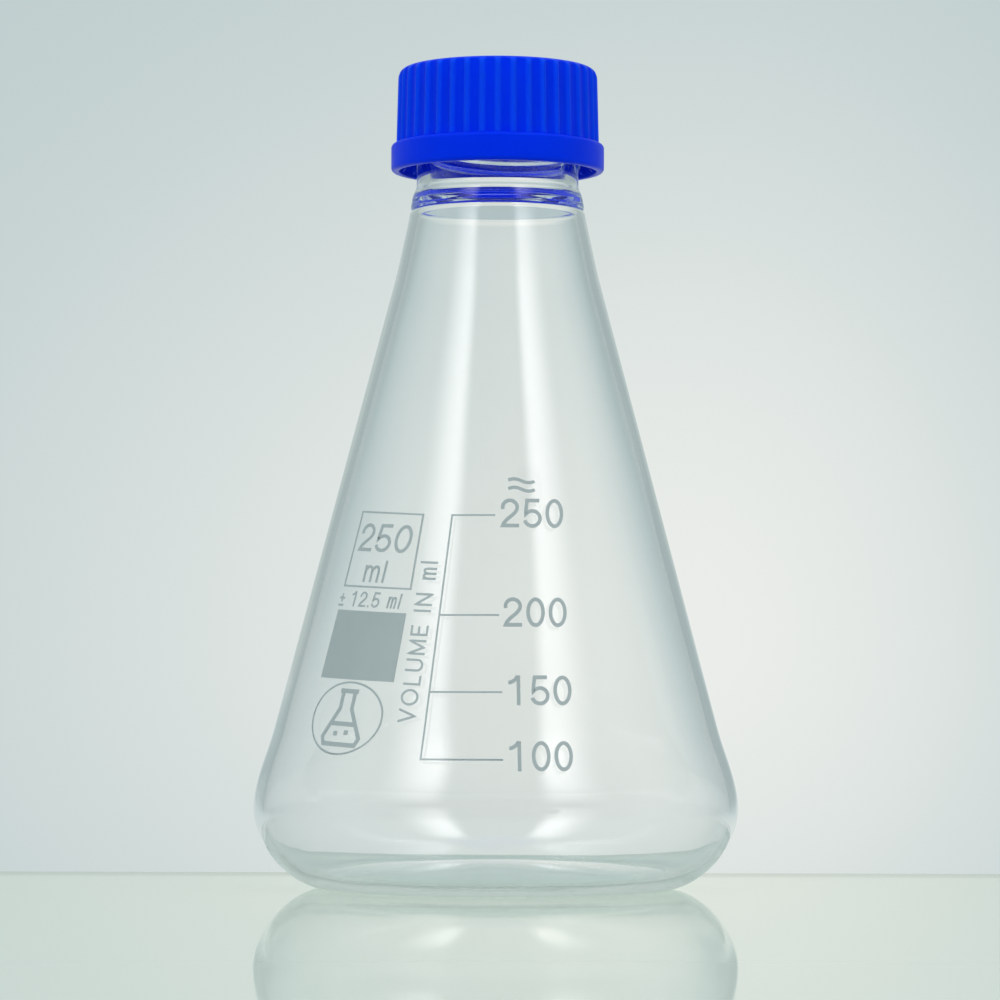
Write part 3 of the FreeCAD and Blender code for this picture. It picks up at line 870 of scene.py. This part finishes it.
def add_world():
    world = bpy.data.worlds.new("studio")
    bpy.context.scene.world = world
    look = Shading(world)
    parts = look.axes("Generated")
    light, tint = backdrop(look, look.maths("ARCTAN2", parts["X"], parts["Y"]), parts["Z"])
    room = look.node("ShaderNodeBackground", "Background", Color=tint, Strength=light)
    boxes = look.node("ShaderNodeBackground", "Background", Color=(1.0, 0.97, 1.0),
                      Strength=softboxes(look, parts))
    both = look.nodes.new("ShaderNodeAddShader")
    look.feed(both.inputs[0], room)
    look.feed(both.inputs[1], boxes)
    look.feed(look.nodes["World Output"].inputs["Surface"], both.outputs["Shader"])
    look.nodes.remove(look.nodes["Background"])


def floor_material():
    """Glossy pale table up to its back edge with painted shade along it, and the backdrop's own sweep
    beyond it.

    The sweep's light is worked out for directions from CAMERA_PLACE, so that it goes on from
    the backdrop there without a seam.  It stays where it is in every other view.
    """
    look = new_material("pale_floor")
    cloud = look.noise(3, 2.0)
    look.shader(
        Base_Color=look.blended(cloud, (0.62, 0.69, 0.65), (0.66, 0.73, 0.69)),
        Roughness=0.6, Specular_IOR_Level=0.0, Normal=look.bump(look.noise(9, 1.0), 0.02 * MM))
    gloss = look.node("ShaderNodeBsdfAnisotropic", "BSDF", Color=(0.985, 1.0, 0.94),
                      Roughness=look.ranged(cloud, 0.3, 0.7, 0.02, 0.04))
    fresnel = look.node("ShaderNodeFresnel", "Fac", IOR=1.55)
    polished = look.mixed(fresnel, look.nodes["Principled BSDF"].outputs["BSDF"], gloss)
    parts = look.axes()
    depth = look.maths("SUBTRACT", parts["Y"], CAMERA_PLACE.y)
    azimuth = look.maths("ARCTAN2", parts["X"], depth)
    rise = look.maths("DIVIDE", -CAMERA_PLACE.z, look.maths("MAXIMUM", depth, 0.5))
    light, tint = backdrop(look, azimuth, rise)
    sweep = look.node("ShaderNodeEmission", "Emission", Color=tint, Strength=light)
    # painted shade: a dark strip along the table's back edge
    edge_shade_share = look.ranged(parts["Y"], TABLE_BACK - 0.022, TABLE_BACK - 0.006, 0.0, 0.16)
    painted_edge_shade = look.node("ShaderNodeBsdfDiffuse", "BSDF", Color=(0.10, 0.13, 0.12))
    table = look.mixed(edge_shade_share, polished, painted_edge_shade)
    beyond = look.maths("GREATER_THAN", parts["Y"], TABLE_BACK)
    look.surface(look.mixed(beyond, table, sweep))
    return look.owner


def add_floor():
    half = 3.0
    level = -0.05 * MM
    mesh = bpy.data.meshes.new("floor")
    corners = [(-half, -half, level), (half, -half, level), (half, half, level), (-half, half, level)]
    mesh.from_pydata(corners, [], [(0, 1, 2, 3)])
    floor = add_object("floor", mesh)
    floor.data.materials.append(floor_material())


def direction(azimuth, elevation):
    """Unit direction out from the object: azimuth from -Y towards +X, in degrees."""
    a, e = math.radians(azimuth), math.radians(elevation)
    return Vector((math.sin(a) * math.cos(e), -math.cos(a) * math.cos(e), math.sin(e)))


def add_fill(name, azimuth, elevation, radiance, size=0.7, distance=0.9):
    """A broad soft light that brightens surfaces but is never mirrored."""
    light = bpy.data.lights.new(name, "AREA")
    light.shape = "SQUARE"
    light.size = size
    light.energy = radiance * math.pi * size * size
    box = add_object(name, light)
    box.location = Vector((0, 0, 0.07)) + direction(azimuth, elevation) * distance
    box.rotation_euler = direction(azimuth, elevation).to_track_quat("Z", "Y").to_euler()
    box.visible_camera = False
    box.visible_glossy = False
    box.visible_transmission = False


def add_camera():
    """Long lens a little above the table, as the catalogue view."""
    data = bpy.data.cameras.new("camera")
    data.sensor_width = 36.0
    data.lens = CAMERA_LENS
    camera = add_object("camera", data)
    pitch, yaw = math.radians(CAMERA_PITCH), math.radians(CAMERA_YAW)
    aim = Vector((math.sin(yaw), math.cos(yaw) * math.cos(pitch), math.sin(pitch)))
    camera.rotation_euler = aim.to_track_quat("-Z", "Y").to_euler()
    camera.rotation_euler.rotate_axis("Z", math.radians(CAMERA_ROLL))
    camera.location = CAMERA_PLACE
    bpy.context.scene.camera = camera


# ======== assembly ============================================================================

def finish_piece(piece, body, material, replaced=()):
    piece.data.materials.clear()
    piece.data.materials.append(material)
    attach(piece, body)
    if replaced:
        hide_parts(*replaced)


add_camera()
glass = glass_material()
cap_blue = plastic_material("cap_polypropylene", CAP_BLUE, CAP_DEEP_BLUE, 0.34, ribbed=True)
liner_blue = plastic_material("liner_polymer", CAP_BLUE, CAP_DEEP_BLUE, 0.45)
ring_blue = plastic_material("ring_polypropylene", CAP_BLUE, CAP_DEEP_BLUE, 0.32)
enamel = enamel_material()

finish_piece(turned("glass_body", glass_profile(), GLASS_SEGMENTS, glass_shape),
             "flask", glass, ["flask_body"])
finish_piece(turned("cap_moulding", cap_outside() + cap_inside(), CAP_SEGMENTS, cap_shape),
             "cap", cap_blue, ["screw_cap"])
finish_piece(turned("liner_disc", liner_profile(), 180), "liner", liner_blue, ["seal_disc"])
finish_piece(turned("drip_ring", ring_profile(), 180), "flask", ring_blue, ["pouring_ring"])
for make_print in (print_numerals, print_about_sign, print_capacity, print_tolerance, print_caption,
                   print_pictogram):
    finish_piece(make_print(), "flask", enamel)

for node in ("enamel_scale", "enamel_capacity_frame", "enamel_marking_field", "enamel_badge"):
    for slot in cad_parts[node].material_slots:
        slot.material = enamel

add_floor()
add_world()
add_fill("left_fill", -45, 35, 1.25)
add_fill("right_fill", 45, 35, 1.05)
add_fill("top_fill", 0, 80, 0.8)

scene = bpy.context.scene
scene.view_settings.view_transform = "Standard"
scene.cycles.max_bounces = 24
scene.cycles.transmission_bounces = 24
scene.cycles.glossy_bounces = 12
scene.cycles.transparent_max_bounces = 16
